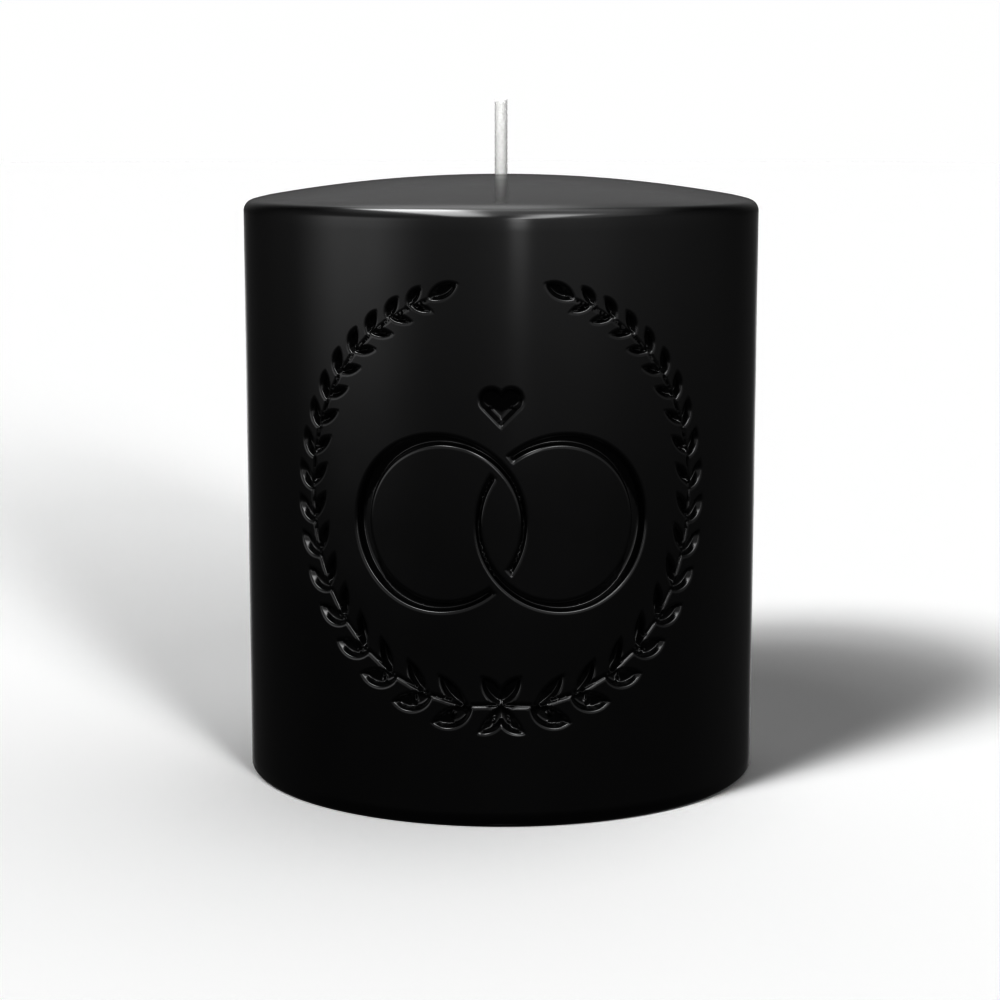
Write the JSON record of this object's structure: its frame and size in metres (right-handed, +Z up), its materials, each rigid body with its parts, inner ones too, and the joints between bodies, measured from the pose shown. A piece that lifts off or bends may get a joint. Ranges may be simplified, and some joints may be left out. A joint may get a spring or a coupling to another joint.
{
  "type": "unity candle",
  "caption": "Round black wax pillar candle with a domed crown, a white wick, and a laurel wreath with linked rings sunk in the front.",
  "frame": {"origin": "centre of the base, on the surface the candle stands on", "axes": "+Z up the wick, -Y out of the front of the wall that carries the wreath, +X to the right seen from the front"},
  "size_m": [0.0762, 0.0762, 0.0999],
  "materials": {
    "black_wax": "glossy dyed-through wax",
    "cotton_braid": "braided cotton primed with clear wax",
    "cotton_core": "twisted cotton",
    "tinned_steel": "tinned sheet, stamped"
  },
  "bodies": {
    "root": {"wax_body": "black_wax", "wick_braid": "cotton_braid", "wick_core": "cotton_core", "wick_sustainer": "tinned_steel"}
  },
  "joints": []
}
